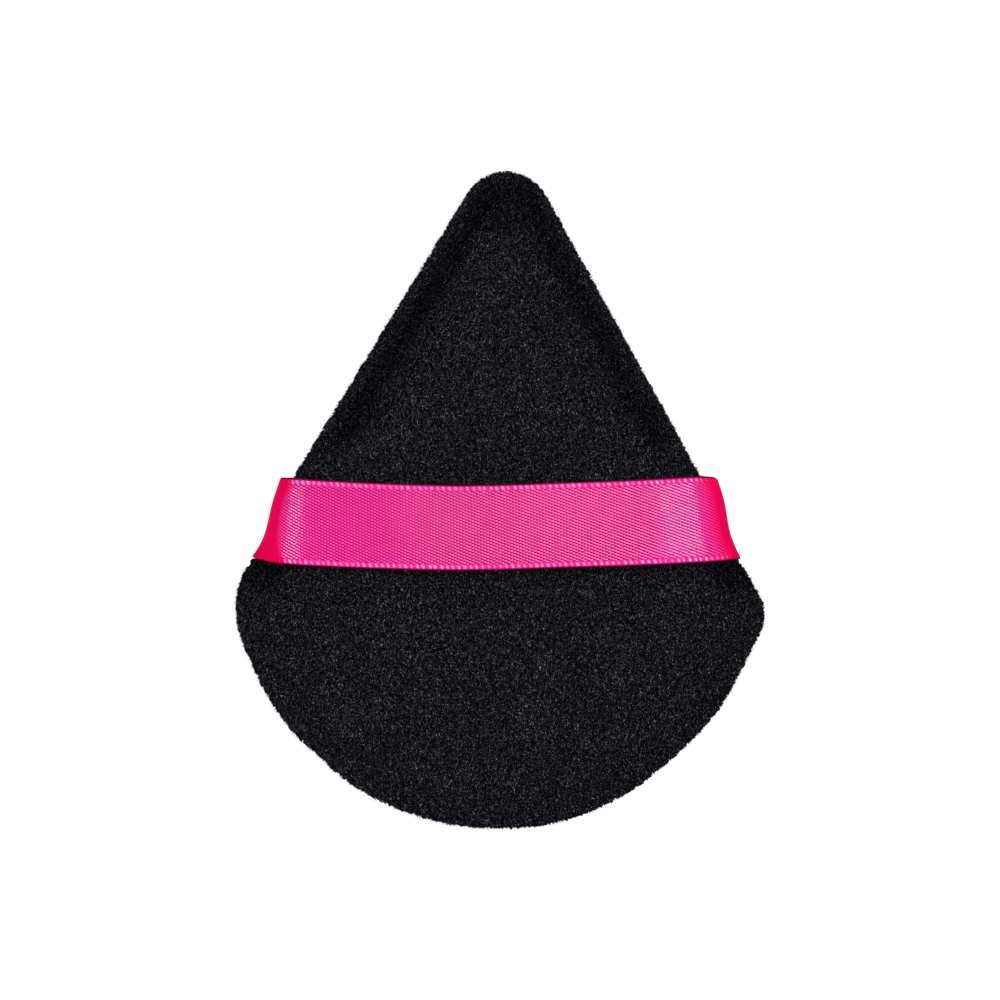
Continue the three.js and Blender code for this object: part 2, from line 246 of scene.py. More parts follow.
# %% [markdown]
# ## Light
# Satin shows a pale band wherever it bends to reflect a lamp. A low soft box on the left and a higher
# one on the right give the ribbon its two bands, and a third, almost overhead, keeps its middle
# bright. A picture of a studio could be used as the sky instead, but each lamp here can be moved until
# its band lies where it should. Together they light the puff at a plain level, at which a colour shows
# about as it is written.

# %% Lamps
def soft_box(name, tilt_degrees, turn_degrees, distance, width, length, watts):
    """A soft box that faces the puff, tilted to the right, or left where negative, and turned."""
    data = bpy.data.lights.new(name, "AREA")
    data.shape = "RECTANGLE"
    data.size = width
    data.size_y = length
    data.energy = watts
    tilt, turn = math.radians(tilt_degrees), math.radians(turn_degrees)
    lamp = bpy.data.objects.new(name, data)
    reach = distance * math.sin(tilt)
    lamp.location = (reach * math.cos(turn), reach * math.sin(turn), distance * math.cos(tilt))
    lamp.rotation_euler = (0, tilt, turn)
    bpy.context.scene.collection.objects.link(lamp)
    print(name, "at", [round(x, 2) for x in lamp.location])


soft_box("left_soft_box", tilt_degrees=-60, turn_degrees=-3, distance=0.7,
         width=0.36, length=0.3, watts=3.2)
soft_box("right_soft_box", tilt_degrees=34.5, turn_degrees=9, distance=0.7,
         width=0.37, length=0.22, watts=2.8)
soft_box("overhead_soft_box", tilt_degrees=9.5, turn_degrees=0, distance=0.9,
         width=0.4, length=0.22, watts=1.48)

# %% [markdown]
# ## Building a finish
# A finish in Blender is a chain of nodes, and most chains use the same few links. Each helper here
# makes one of those links and gives back its output, so that a finish reads like a recipe.

# %% A maker of nodes
def node_maker(tree):
    """A short way to add a node, set its values and join its inputs."""
    def add(kind, inputs=None, **settings):
        node = tree.nodes.new(kind)
        for key, value in settings.items():
            setattr(node, key, value)
        for key, value in (inputs or {}).items():
            if isinstance(value, bpy.types.NodeSocket):
                tree.links.new(value, node.inputs[key])
            else:
                node.inputs[key].default_value = value
        return node

    return add

# %% Links that give numbers
def maths(add, operation, *values, **settings):
    """The result of one operation on numbers or on other nodes' outputs."""
    return add("ShaderNodeMath", dict(enumerate(values)), operation=operation, **settings).outputs[0]


def mapped(add, value, low, high, low_result, high_result):
    """A value mapped from one range onto another, and held within it."""
    ends = {"From Min": low, "From Max": high, "To Min": low_result, "To Max": high_result}
    return add("ShaderNodeMapRange", {"Value": value, **ends}).outputs[0]


noise_range = (0.3, 0.7)


def noise(add, place, scale, detail, roughness=0.5):
    """Soft random clouds of values, mostly in noise_range. The scale is about how many fit in a metre."""
    kind = {"Scale": scale, "Detail": detail, "Roughness": roughness}
    return add("ShaderNodeTexNoise", {"Vector": place, **kind}).outputs[0]


def spot_value(add, name):
    """A value that the mesh holds at each of its spots."""
    return add("ShaderNodeAttribute", attribute_name=name).outputs["Fac"]

# %% Links that give colours
def blended(add, share, first, second):
    """A first colour that gives way to a second one."""
    return add("ShaderNodeMix", {"Factor": share, 6: first, 7: second}, data_type="RGBA").outputs[2]


def tinted(add, colour, level):
    """A colour made lighter or darker by a level."""
    return add("ShaderNodeVectorMath", {0: colour, "Scale": level}, operation="SCALE").outputs[0]

# %% The start and the end of a finish
def new_finish(name):
    """A material with no nodes yet, and the maker of its nodes."""
    material = bpy.data.materials.new(name)
    material.use_nodes = True
    material.node_tree.nodes.clear()
    return material, node_maker(material.node_tree)


def closed_finish(material, add, shader):
    """The material with its last shader joined to its output."""
    add("ShaderNodeOutputMaterial", {"Surface": shader.outputs[0]})
    print(material.name, "has", len(material.node_tree.nodes), "nodes")
    return material

# %% [markdown]
# ## Sky and floor
# The puff lies on plain white. A white sheet could be lit until it shows no shadow, but it would throw
# so much light back that black velour looks grey. Here the sky and the floor are white to rays that
# look, and to all the others they are a dim sky and a sheet of grey paper.

# %% Sky
sky_level = 0.215
white = (1, 1, 1, 1)


def camera_like(add):
    """1 for rays that look: straight from the camera, or through gloss or glass."""
    rays = add("ShaderNodeLightPath")
    looking = maths(add, "MAXIMUM", rays.outputs["Is Camera Ray"], rays.outputs["Is Glossy Ray"])
    return maths(add, "MAXIMUM", looking, rays.outputs["Is Transmission Ray"])


world = bpy.data.worlds.new("sky")
bpy.context.scene.world = world
world.use_nodes = True
world.node_tree.nodes.clear()
add_to_sky = node_maker(world.node_tree)
seen_level = mapped(add_to_sky, camera_like(add_to_sky), 0.0, 1.0, sky_level, 1.0)
sky = add_to_sky("ShaderNodeBackground", {"Color": white, "Strength": seen_level})
add_to_sky("ShaderNodeOutputWorld", {"Surface": sky.outputs[0]})
print("sky level", sky_level)

# %% Floor
floor_reach = 3.0
floor_glow = 0.9
floor_tone = 0.45


def floor_finish():
    material, add = new_finish("white_floor")
    paper = add("ShaderNodeBsdfDiffuse", {"Color": (floor_tone, floor_tone, floor_tone, 1)})
    glow_level = maths(add, "MULTIPLY", camera_like(add), floor_glow)
    glow = add("ShaderNodeEmission", {"Color": white, "Strength": glow_level})
    both = add("ShaderNodeAddShader", {0: paper.outputs[0], 1: glow.outputs[0]})
    return closed_finish(material, add, both)


floor_mesh = bpy.data.meshes.new("floor")
floor_corners = [(x * floor_reach, y * floor_reach, 0) for x, y in ((-1, -1), (1, -1), (1, 1), (-1, 1))]
floor_mesh.from_pydata(floor_corners, [], [(0, 1, 2, 3)])
floor = bpy.data.objects.new("floor", floor_mesh)
bpy.context.scene.collection.objects.link(floor)
floor_mesh.materials.append(floor_finish())

# %% [markdown]
# ## Making pieces from arrays
# The velour and the ribbon have more than a hundred thousand faces each, laid by formula. Blender's
# modelling tools would be slow at that and would number them as they like. A mesh is therefore made
# straight from arrays of places and faces, with any values that its finish needs at each spot. Each
# spot also gets a place on a flat sheet, so that the finish can be baked onto it for export.

# %% Mesh maker
bake_margin = 0.01
bake_reach = 0.98


def make_piece(name, places, faces, material, spot_values=None, bake_places=None, smooth=True):
    """A mesh object from places in plan metres, which home moves into the frame."""
    mesh = bpy.data.meshes.new(name)
    corner_lists = faces.tolist() if isinstance(faces, np.ndarray) else faces
    mesh.from_pydata((places + home).tolist(), [], corner_lists)
    for key, values in (spot_values or {}).items():
        layer = mesh.attributes.new(key, "FLOAT", "POINT")
        layer.data.foreach_set("value", np.asarray(values, np.float32))
    if bake_places is not None:
        corners = np.zeros(len(mesh.loops), np.int32)
        mesh.loops.foreach_get("vertex_index", corners)
        layer = mesh.uv_layers.new(name="OFBake")
        layer.data.foreach_set("uv", np.asarray(bake_places, np.float32)[corners].ravel())
    mesh.polygons.foreach_set("use_smooth", np.full(len(mesh.polygons), smooth))
    mesh.materials.append(material)
    mesh.validate()
    piece = bpy.data.objects.new(name, mesh)
    bpy.context.scene.collection.objects.link(piece)
    print(name, len(mesh.vertices), "spots,", len(mesh.polygons), "faces")
    return piece

# %% [markdown]
# ## Velour finish
# Velour is a cut pile. Its fibre ends scatter a little light and the gaps between them swallow it, so
# black velour is a grain of dark grey points on near black. A picture of velour would blur close up
# and repeat itself. Here the colour is painted darker where a spot stands low in the pile, as the shade
# between the tufts, and it also comes from a fine noise, made so steep that only its peaks show as points. A
# second noise strings the points along curls. A weak sheen lights the fibres where they lie over.

# %% Velour finish
velour_dye = (0.0142, 0.0133, 0.0172)
sheen_tint = (0.75, 0.78, 0.95, 1)
nap_stretch = (1.6, 0.62, 1.0)
fibre_scale = 7500.0
curl_scale = 3700.0
nap_scale = 130.0
fibre_contrast = 1.3e7
brightest_point = 9.0
curl_width = 0.05
curl_levels = (2.5, 0.24)
pile_shade_levels = (0.5, 1.6)
patch_levels = (0.88, 1.12)


def velour_finish():
    material, add = new_finish("black_velour")
    place = add("ShaderNodeTexCoord").outputs["Object"]
    drawn = add("ShaderNodeMapping", {"Vector": place, "Scale": nap_stretch}).outputs[0]
    fibres = noise(add, drawn, fibre_scale, detail=1.0, roughness=0.6)
    glints = maths(add, "POWER", fibre_contrast, maths(add, "SUBTRACT", fibres, 0.5))
    points = maths(add, "MINIMUM", glints, brightest_point)
    curls = noise(add, drawn, curl_scale, detail=0.0)
    off_curl = maths(add, "ABSOLUTE", maths(add, "SUBTRACT", curls, 0.5))
    grain = maths(add, "MULTIPLY", points, mapped(add, off_curl, 0.0, curl_width, *curl_levels))
    # Painted shade: spots that stand low in the pile are darker.
    height = mapped(add, spot_value(add, "pile_height"), 0.0, 1.0, *pile_shade_levels)
    lit = maths(add, "MULTIPLY", grain, height)
    clouds = noise(add, place, nap_scale, detail=3.0, roughness=0.55)
    patches = mapped(add, clouds, *noise_range, *patch_levels)
    # Painted shade on the upper shoulders, at the tip and below the strap's ends.
    unshaded = maths(add, "SUBTRACT", 1.0, spot_value(add, "nap_painted_shade"))
    patches_and_shade = maths(add, "MULTIPLY", patches, unshaded)
    bump = add("ShaderNodeBump", {"Height": fibres, "Distance": 0.00006, "Strength": 0.6})
    cloth = add("ShaderNodeBsdfPrincipled", {
        "Base Color": tinted(add, velour_dye, maths(add, "MULTIPLY", lit, patches_and_shade)),
        "Roughness": 0.9, "Specular IOR Level": 0.0, "Normal": bump.outputs[0],
        "Sheen Weight": 0.001, "Sheen Roughness": 0.5, "Sheen Tint": sheen_tint,
    })
    return closed_finish(material, add, cloth)


velour = velour_finish()

# %% [markdown]
# ## The velour panels
# Each panel is one cut of velour. Its face swells to a soft crown, rolls over the rim, and dips into
# the seam, where it turns in as a flange. The pile could be hair particles, but they are no mesh, and
# the exported piece has to be one. So the face is laid with a fine lattice of spots, as if the cloth
# were unrolled flat over the plan. Each spot then stands up out of the cloth by its own height, and
# leans with the nap, so the pile is real geometry right out to the fuzzy rim.

# %% The panel's section
rim_width = 0.0034
rim_rise = 0.0016
seam_dip = 0.0007
edge_depth = 0.0043
crown_depth = 0.005
rest_cut = 0.0005
cover_thickness = 0.001
flange_thickness = 0.0005
allowance_inset = 0.0039
fillet_width = 0.00045
flange_top = strap_half + flange_thickness


def quarter(start, end, count):
    """A quarter ellipse of (inset, height) spots, upright at its start and level at its end."""
    angle = np.linspace(0, math.pi / 2, count)
    inset = end[0] + (start[0] - end[0]) * np.cos(angle)
    return np.stack([inset, start[1] + (end[1] - start[1]) * np.sin(angle)], axis=1)


section_count = 200
widest = (0, rim_rise)
shoulder = (rim_width, edge_depth)
rim_section = np.concatenate([
    quarter(widest, shoulder, section_count)[::-1],
    quarter(widest, (seam_dip, strap_half), section_count)[1:],
])
rim_run = np.concatenate([[0], np.cumsum(np.linalg.norm(np.diff(rim_section, axis=0), axis=1))])
print("cloth from shoulder to seam", round(rim_run[-1] * 1000, 2), "mm")

# %% Loops and heights of a panel
def loop_at(inset):
    """The plan, moved in all round by an inset."""
    return plan - inset * plan_out


def ring_at(outline, inset, height):
    """Some spots of the plan, moved in by an inset and up to a height."""
    return np.column_stack([plan[outline] - inset * plan_out[outline], np.full(len(outline), height)])


def inset_of(spots, near):
    """How far in each spot lies, along the way out of its nearest spot of the plan."""
    return np.einsum("ij,ij->i", plan[near] - spots, plan_out[near])


def crown_height(spots):
    """The height of the face, which swells from the shoulder loop to the middle."""
    loop = loop_at(rim_width)
    order = np.argsort(np.arctan2(loop[:, 1], loop[:, 0]))
    angles = np.arctan2(loop[order, 1], loop[order, 0])
    reach = np.interp(np.arctan2(spots[:, 1], spots[:, 0]), angles, np.hypot(*loop[order].T),
                      period=2 * math.pi)
    share = np.clip(np.hypot(*spots.T) / reach, 0, 1)
    return edge_depth + (crown_depth - edge_depth) * (1 - share**2)


print("shoulder", round(float(closed_lengths(loop_at(rim_width))[-1]) * 1000, 1), "mm round")

# %% [markdown]
# A square grid of spots would show as rows in the pile. Here every second row is shifted by half a
# step, and each spot is moved a little at random. The lattice reaches past the plan by as much cloth
# as rolls over the rim, and a tree of the plan's spots tells where each spot of it belongs.

# %% The lattice of spots
column_step = 0.000205
row_step = 0.000226
spot_scatter_share = 0.3
rim_tree = KDTree(plan_count)
for number, spot in enumerate(plan):
    rim_tree.insert((*spot, 0), number)
rim_tree.balance()


def lattice(rng):
    """Spots in staggered rows over the unrolled cloth, each with its nearest spot of the plan."""
    margin = rim_run[-1] - rim_width + column_step
    low = plan.min(axis=0) - margin
    high = plan.max(axis=0) + margin
    columns = int((high[0] - low[0]) / column_step)
    rows = int((high[1] - low[1]) / row_step)
    row, column = np.meshgrid(np.arange(rows), np.arange(columns), indexing="ij")
    beside = low[0] + (column + 0.5 * (row % 2)) * column_step
    steady = np.stack([beside, low[1] + row * row_step], axis=-1).reshape(-1, 2)
    near = np.array([rim_tree.find((x, y, 0))[1] for x, y in steady.tolist()])
    scatter = rng.uniform(-1, 1, steady.shape) * spot_scatter_share * (column_step, row_step)
    return steady, steady + scatter, near, rows, columns


def lattice_faces(rows, columns):
    """Two triangles for each gap of the lattice, which lean the other way in every second row."""
    row, column = np.meshgrid(np.arange(rows - 1), np.arange(columns - 1), indexing="ij")
    a = (row * columns + column).ravel()
    b, c, d = a + 1, a + columns, a + columns + 1
    even = (row.ravel() % 2) == 0
    leaning = np.concatenate([np.stack([a, b, c], 1)[even], np.stack([b, d, c], 1)[even]])
    other = np.concatenate([np.stack([a, d, c], 1)[~even], np.stack([a, b, d], 1)[~even]])
    return np.concatenate([leaning, other])

# %% The face of a panel
def laid_cloth(seed):
    """The bare cloth of a panel, before its pile: places, faces, and how far out each spot lies."""
    rng = np.random.default_rng(seed)
    steady, spots, near, rows, columns = lattice(rng)
    faces = lattice_faces(rows, columns)
    inside = inset_of(steady, near)
    faces = faces[(rim_width - inside[faces] < rim_run[-1]).all(axis=1)]
    used, faces = np.unique(faces, return_inverse=True)
    faces = faces.reshape(-1, 3)
    spots, near = spots[used], near[used]
    run = rim_width - inset_of(spots, near)
    inset = np.interp(run, rim_run, rim_section[:, 0])
    rolled = plan[near] - inset[:, None] * plan_out[near]
    on_face = run < 0
    flat = np.where(on_face[:, None], spots, rolled)
    rim_height = np.interp(run, rim_run, rim_section[:, 1])
    height = np.where(on_face, crown_height(spots), rim_height)
    return {"flat": flat, "height": height, "run": run, "near": near, "spots": spots,
            "faces": faces, "rng": rng}


def ways_up(places, faces):
    """The way out of the surface at each spot."""
    a, b, c = (places[faces[:, k]] for k in (0, 1, 2))
    across = np.cross(b - a, c - a)
    total = np.zeros_like(places)
    for k in (0, 1, 2):
        np.add.at(total, faces[:, k], across)
    return total / np.linalg.norm(total, axis=1, keepdims=True)

# %% [markdown]
# The pile stands 0.5 mm out of the cloth. Few tufts reach the full height, so the heights are drawn
# with a power that keeps most of them low. The nap was brushed towards the base. Where the strap
# presses on the rim, the pile is crushed. A displacement by noise would give soft hills, where a
# height of its own for every spot gives tufts.

# %% The pile
pile_depth = 0.00052
pile_sink = 0.0003
pile_power = 1.5
nap_lean_share = 0.35
tuft_scatter_share = 0.45
rim_pile_depth = 0.00058
rim_pile_power = 2.2
rim_pile_run = (-0.0012, 0.0004)
crushed_share = 0.35
crushed_from = (strap_low + 0.0002, strap_low + 0.0008)
crushed_to = (strap_high - 0.0009, strap_high - 0.0002)
crushed_run = (-0.001, 0.001)
lowest_tuft = 0.00002
hair_low = 0.00012
hair_span = 0.0006
hair_lean = 0.0002


def with_pile(cloth, side, deepest):
    """The panel's places with the pile up, how high each stands, 0 to 1, and a loose fibre's tip there."""
    rng = cloth["rng"]
    height = np.minimum(cloth["height"], deepest - (pile_depth - pile_sink))
    bare = np.column_stack([cloth["flat"], height])
    up = ways_up(bare, cloth["faces"])
    draw = rng.random(len(bare))
    at_rim = smoothstep(cloth["run"], *rim_pile_run)
    depth = pile_depth + (rim_pile_depth - pile_depth) * at_rim
    stand = draw**pile_power + (draw**rim_pile_power - draw**pile_power) * at_rim
    up_page = cloth["flat"][:, 1]
    beside_strap = smoothstep(up_page, *crushed_from) * (1 - smoothstep(up_page, *crushed_to))
    stand *= 1 - (1 - crushed_share) * (beside_strap * smoothstep(cloth["run"], *crushed_run))
    nap = np.array([0, -1.0, 0]) * nap_lean_share
    lean = nap + rng.uniform(-1, 1, bare.shape) * tuft_scatter_share
    lean -= up * np.einsum("ij,ij->i", lean, up)[:, None]
    places = bare + up * (stand * depth - pile_sink)[:, None] + lean * (stand * depth)[:, None]
    places[:, 2] = np.clip(places[:, 2], lowest_tuft, deepest)
    reach = hair_low + hair_span * rng.random(len(bare)) ** 2
    tips = bare + up * reach[:, None] + lean * hair_lean
    return places * (1, 1, side), stand, tips * (1, 1, side)

# %% [markdown]
# The pile is painted darker along the upper shoulders and at the tip, where the cloth turns down away from
# the light, and below the strap's ends. This painted shade could be drawn by hand. Formulas of the plan are
# used instead, so that it follows the rim by itself.

# %% The painted shade on the nap
nap_shade_inset = 0.0022
nap_shade_outer_reach = 0.0013
nap_shade_inner_reach = 0.002
nap_shade_share = {-1: 0.62, 1: 0.5}
nap_shade_from = (strap_high + 0.001, strap_high + 0.006)
tip_nap_shade_share = 0.9
tip_nap_shade_from = (tip_place[1] - 0.005, tip_place[1] + 0.001)
tip_nap_shade_inset = (0.0003, 0.0014)
strap_end_shade_share = 0.56
strap_end_shade_below = 0.0015
strap_end_shade_reach = 0.0022
strap_end_shade_inset = (0.003, 0.0042)


def nap_painted_shade(cloth):
    """How much painted shade darkens the pile, 0 to 1."""
    inset = inset_of(cloth["flat"], cloth["near"])
    off = inset - nap_shade_inset
    band = np.exp(-((off / np.where(off < 0, nap_shade_outer_reach, nap_shade_inner_reach)) ** 2))
    up_page = cloth["flat"][:, 1]
    upper = smoothstep(up_page, *nap_shade_from)
    tip = tip_nap_shade_share * smoothstep(up_page, *tip_nap_shade_from) * smoothstep(inset, *tip_nap_shade_inset)
    share = np.where(cloth["flat"][:, 0] < 0, nap_shade_share[-1], nap_shade_share[1])
    # Painted shade below the strap's ends.
    strap_end_shade = strap_end_shade_share * np.exp(-(((up_page - strap_low + strap_end_shade_below) / strap_end_shade_reach) ** 2))
    strap_end_shade *= 1 - smoothstep(inset, *strap_end_shade_inset)
    return np.maximum(share * np.maximum(band * upper, tip), strap_end_shade)

# %% [markdown]
# Loose fibres stand out past the pile and blur the puff's outline. Each grows out of one face of the
# rim: a foot a few hundredths of a millimetre wide, drawn out to a tip. Loose needles stuck into the
# cloth would be quicker to make, but grown ones keep the panel one closed piece.

# %% Loose fibres
hair_share = 0.5
hair_belt = 0.0011
hair_foot_share = 0.13
hair_clearance = 0.0006
widest_run = rim_run[section_count - 1]


def sprouting(cloth):
    """Which faces a loose fibre grows out of: some of those round the rim, but none under the strap."""
    run = cloth["run"][cloth["faces"]].mean(axis=1)
    up_page = cloth["flat"][cloth["faces"], 1].mean(axis=1)
    beside = (up_page < strap_low - hair_clearance) | (up_page > strap_high)
    at_rim = np.abs(run - widest_run) < hair_belt
    return beside & at_rim & (cloth["rng"].random(len(run)) < hair_share)


def with_feet(values, roots):
    """Adds values for the fibres' feet, three for each, and then for their tips."""
    middle = values[roots].mean(axis=1, keepdims=True)
    feet = middle + (values[roots] - middle) * hair_foot_share
    return np.concatenate([values, feet.reshape(-1, *values.shape[1:]), middle[:, 0]])


def with_hairs(cloth, places, tips):
    """A panel's face with its loose fibres: places, faces, and the faces that the fibres grow from."""
    chosen = sprouting(cloth)
    roots = cloth["faces"][chosen]
    first_tip = len(places) + 3 * len(roots)
    everywhere = with_feet(places, roots)
    everywhere[first_tip:] = tips[roots[:, 0]]
    a, b, c = roots.T
    p = len(places) + 3 * np.arange(len(roots))
    q, r, tip = p + 1, p + 2, first_tip + np.arange(len(roots))
    round_foot = ((a, b, q), (a, q, p), (b, c, r), (b, r, q), (c, a, p), (c, p, r))
    up_fibre = ((p, q, tip), (q, r, tip), (r, p, tip))
    fresh = np.concatenate([np.stack(corners, axis=1) for corners in round_foot + up_fibre])
    print(len(roots), "loose fibres")
    return everywhere, np.concatenate([cloth["faces"][~chosen], fresh]), roots

# %% [markdown]
# Behind its pile each panel is closed, as real cloth has a back. A flange turns in along the seam, and
# the knitted back of the cloth follows the foam. A solidify modifier could thicken the face, but it
# would give the back a pile too. Nobody sees the back, so plain rings make it, with one spot for every
# four of the face's edge.

# %% The back of a panel
lining_step = 4


def edge_loop(faces):
    """The spots round the outside of the faces, in order, anticlockwise."""
    edges = np.concatenate([faces[:, [0, 1]], faces[:, [1, 2]], faces[:, [2, 0]]])
    seen = set(map(tuple, edges.tolist()))
    after = {a: b for a, b in seen if (b, a) not in seen}
    start = min(after)
    loop = [start]
    while after[loop[-1]] != start:
        loop.append(after[loop[-1]])
    assert len(loop) == len(after), "the velour's edge isn't one loop"
    return np.array(loop)


def lining_rings(outline, side):
    """The rings of the panel's back, from the flange at the seam to the shoulder."""
    rings = [(allowance_inset, strap_half), (allowance_inset, flange_top),
             (cover_thickness + fillet_width, flange_top), (cover_thickness, rim_rise),
             (rim_width, edge_depth - cover_thickness)]
    return [ring_at(outline, inset, side * height) for inset, height in rings]

# %% The closing of a panel
def with_lining(cloth, places):
    """Closes a panel behind its face: all its places, and the faces of its back."""
    loop = edge_loop(cloth["faces"])
    outline = cloth["near"][loop[::lining_step]]
    side = 1 if places[:, 2].mean() > 0 else -1
    rings = lining_rings(outline, side)
    centre = np.array([[0, 0, side * (crown_depth - cover_thickness - rest_cut)]])
    first = len(places)
    count = len(outline)
    faces = []
    for k, spot in enumerate(loop):
        after = loop[(k + 1) % len(loop)]
        beside = first + k // lining_step
        faces.append((spot, beside, after))
        if k % lining_step == lining_step - 1 or k == len(loop) - 1:
            faces.append((after, beside, first + (k // lining_step + 1) % count))
    for start in range(first, first + (len(rings) - 1) * count, count):
        for k in range(count):
            after = (k + 1) % count
            faces.append((start + k, start + count + k, start + after))
            faces.append((start + after, start + count + k, start + count + after))
    last = first + (len(rings) - 1) * count
    for k in range(count):
        faces.append((last + k, last + count, last + (k + 1) % count))
    return np.concatenate([places, *rings, centre]), np.array(faces)

# %% [markdown]
# Both panels are cut to one pattern, and the back one could be a mirrored copy of the front one. But
# no two cuts of cloth share their pile, so each gets a seed of its own. The back panel is flattened a
# little at its deepest, where the puff lies on it.

# %% Both panels
pile_room = 0.0003
back_bake_share = 0.14
back_bake_corner = (0.85, 0.01)


def velour_panel(name, side, deepest, seed):
    cloth = laid_cloth(seed)
    places, stand, tips = with_pile(cloth, side, deepest)
    haired, fronts, roots = with_hairs(cloth, places, tips)
    everywhere, behind = with_lining(cloth, haired)
    faces = np.concatenate([fronts, behind])
    faces = faces if side > 0 else faces[:, ::-1]
    shown = len(haired)
    low, high = cloth["spots"].min(axis=0), cloth["spots"].max(axis=0)
    unrolled = np.concatenate([with_feet(cloth["spots"], roots), everywhere[shown:, :2]])
    bake = (unrolled - low) / (high - low).max() * bake_reach + bake_margin
    bake[shown:] = bake[shown:] * back_bake_share + back_bake_corner
    hidden = np.zeros(len(everywhere) - shown)
    looks = {"pile_height": stand, "nap_painted_shade": nap_painted_shade(cloth)}
    values = {key: np.concatenate([with_feet(look, roots), hidden]) for key, look in looks.items()}
    return make_piece(name, everywhere, faces, velour, values, bake, smooth=False)


front_velour = velour_panel("front_velour", side=1, deepest=crown_depth + pile_room, seed=11)
back_velour = velour_panel("back_velour", side=-1, deepest=crown_depth - rest_cut, seed=12)
for piece, node in ((front_velour, "front_panel"), (back_velour, "back_panel")):
    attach(piece, "root")
    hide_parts(node)

# %% [markdown]
# ## The foam filling
# The filling is soft open-cell foam, cut to the plan and rounded at its rim. It fills both panels and
# leaves a groove for the seam's flanges. Foam cells are cut open at the surface, so every spot of it
# is sunk by its own small depth. Real cells could be cut out one by one, but that would take millions
# of faces. Nobody sees the foam in the finished puff, but it carries the crown.

# %% Foam finish
foam_colour = (0.86, 0.84, 0.78)
cell_scale = 1900.0
cell_wall = 0.3
cell_shade_levels = (1.0, 0.62)
warm_levels = (0.94, 1.04)


def foam_finish():
    material, add = new_finish("cream_foam")
    place = add("ShaderNodeTexCoord").outputs["Object"]
    cells = add("ShaderNodeTexVoronoi", {"Vector": place, "Scale": cell_scale}, feature="DISTANCE_TO_EDGE")
    # Painted shade: the hollows of the open cells are darker than their walls.
    wall = mapped(add, cells.outputs["Distance"], 0.0, cell_wall, *cell_shade_levels)
    warm = mapped(add, noise(add, place, scale=60.0, detail=3.0), *noise_range, *warm_levels)
    bump = add("ShaderNodeBump", {"Height": wall, "Distance": 0.0001, "Strength": 0.8})
    body = add("ShaderNodeBsdfPrincipled", {
        "Base Color": tinted(add, foam_colour, maths(add, "MULTIPLY", wall, warm)),
        "Roughness": 0.95, "Specular IOR Level": 0.2, "Normal": bump.outputs[0],
    })
    return closed_finish(material, add, body)

# %% The foam's rings
foam_crown = 0.0037
foam_shoulder_height = 0.003
foam_edge_inset = 0.0013
groove_inset = 0.0035
groove_height = 0.00136
groove_lip_inset = 0.0016
foam_lip_steps = 5
foam_roll_steps = 9
foam_face_steps = 60


def foam_rings(outline):
    """The rings of the foam's upper half, from the groove at its waist in to the middle of its face."""
    groove = [(groove_inset, 0), (groove_inset, groove_height / 2), (groove_inset, groove_height)]
    lip_insets = np.linspace(groove_inset, groove_lip_inset, foam_lip_steps)[1:]
    lip = [(inset, groove_height) for inset in lip_insets]
    roll = quarter((foam_edge_inset, rim_rise), (rim_width, foam_shoulder_height), foam_roll_steps)
    rings = [ring_at(outline, inset, height) for inset, height in groove + lip + roll.tolist()]
    shoulder_ring = rings[-1][:, :2]
    for share in np.linspace(1, 0, foam_face_steps + 1)[1:-1]:
        rise = foam_shoulder_height + (foam_crown - foam_shoulder_height) * (1 - share**2)
        rings.append(np.column_stack([shoulder_ring * share, np.full(len(outline), rise)]))
    return rings

# %% The foam
foam_step = 6
cell_depth = 0.00012
foam_seed = 21


def cut_foam():
    outline = np.arange(0, plan_count, foam_step)
    count = len(outline)
    rings = foam_rings(outline)
    upper_half = np.concatenate(rings + [np.array([[0, 0, foam_crown]])])
    places = np.concatenate([upper_half, upper_half[count:] * (1, 1, -1)])
    upper = [list(range(ring * count, (ring + 1) * count)) for ring in range(len(rings))]
    lower = [upper[0]] + [[spot + len(upper_half) - count for spot in ring] for ring in upper[1:]]
    faces = []
    for stack, peak, way in ((upper, len(upper_half) - 1, 1), (lower, len(places) - 1, -1)):
        for inner, outer in zip(stack[1:], stack[:-1]):
            for k in range(count):
                after = (k + 1) % count
                faces.append([outer[k], outer[after], inner[after], inner[k]][::way])
        faces += [[stack[-1][k], stack[-1][(k + 1) % count], peak][::way] for k in range(count)]
    triangles = np.array([[f[0], f[j], f[j + 1]] for f in faces for j in range(1, len(f) - 1)])
    open_cells = np.random.default_rng(foam_seed).random(len(places)) ** 2 * cell_depth
    sunk = places - ways_up(places, triangles) * open_cells[:, None]
    return make_piece("foam_filling", sunk, faces, foam_finish(), smooth=False)


foam_filling = cut_foam()
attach(foam_filling, "root")
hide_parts("foam_core")

# %% [markdown]
# ## Sewing thread
# The seam's stitches and the tacks at the strap's ends lie inside the seam allowance. Their shapes
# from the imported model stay. Sewing thread is three strands twisted together. They could be modelled
# as three twisted cords, but they are far too fine to tell apart, so slanting bands and a little stray
# fibre in the finish stand for them.

# %% Thread finish
thread_shade = (0.004, 0.004, 0.005, 1)
thread_light = (0.035, 0.035, 0.04, 1)


